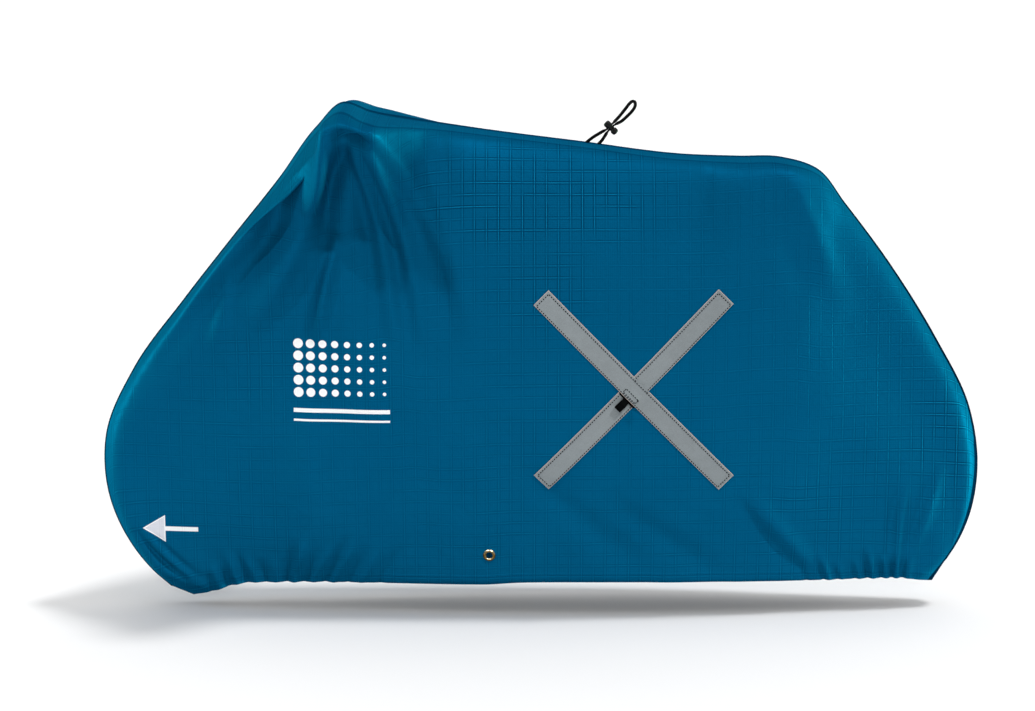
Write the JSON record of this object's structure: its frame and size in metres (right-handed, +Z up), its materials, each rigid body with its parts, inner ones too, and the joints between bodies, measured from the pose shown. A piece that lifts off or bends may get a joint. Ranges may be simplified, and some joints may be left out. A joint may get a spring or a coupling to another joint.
{
  "type": "bicycle cover",
  "caption": "Fitted outdoor cover in blue ripstop cloth, peaked over the front, with a cross of reflective tape, a webbing loop, a brass eyelet and a drawcord with a cord lock.",
  "frame": {"origin": "the point under the cover's top, below the front peak, from which the cover hangs; the floor of the picture is 1.030 m below it", "axes": "+Z up, +X from the front towards the back, -Y towards the side with the reflective cross"},
  "size_m": [1.8423, 0.6002, 1.0495],
  "materials": {
    "ripstop_near": "coated ripstop cloth, slight sheen",
    "ripstop_far": "coated ripstop cloth, slight sheen",
    "reflective_tape_lower": "grey reflective tape, satin",
    "reflective_tape_upper": "grey reflective tape, satin",
    "webbing_black": "woven webbing, matte",
    "eyelet_brass": "polished",
    "elastic_black": "braided elastic, matte",
    "lock_black": "satin",
    "button_black": "satin"
  },
  "bodies": {
    "root": {"side_panel_near": "ripstop_near", "side_panel_far": "ripstop_far", "reflective_strip_lower": "reflective_tape_lower", "reflective_strip_upper": "reflective_tape_upper", "webbing_loop": "webbing_black", "eyelet": "eyelet_brass", "drawcord": "elastic_black", "cord_lock_body": "lock_black", "cord_lock_button": "button_black"}
  },
  "joints": []
}
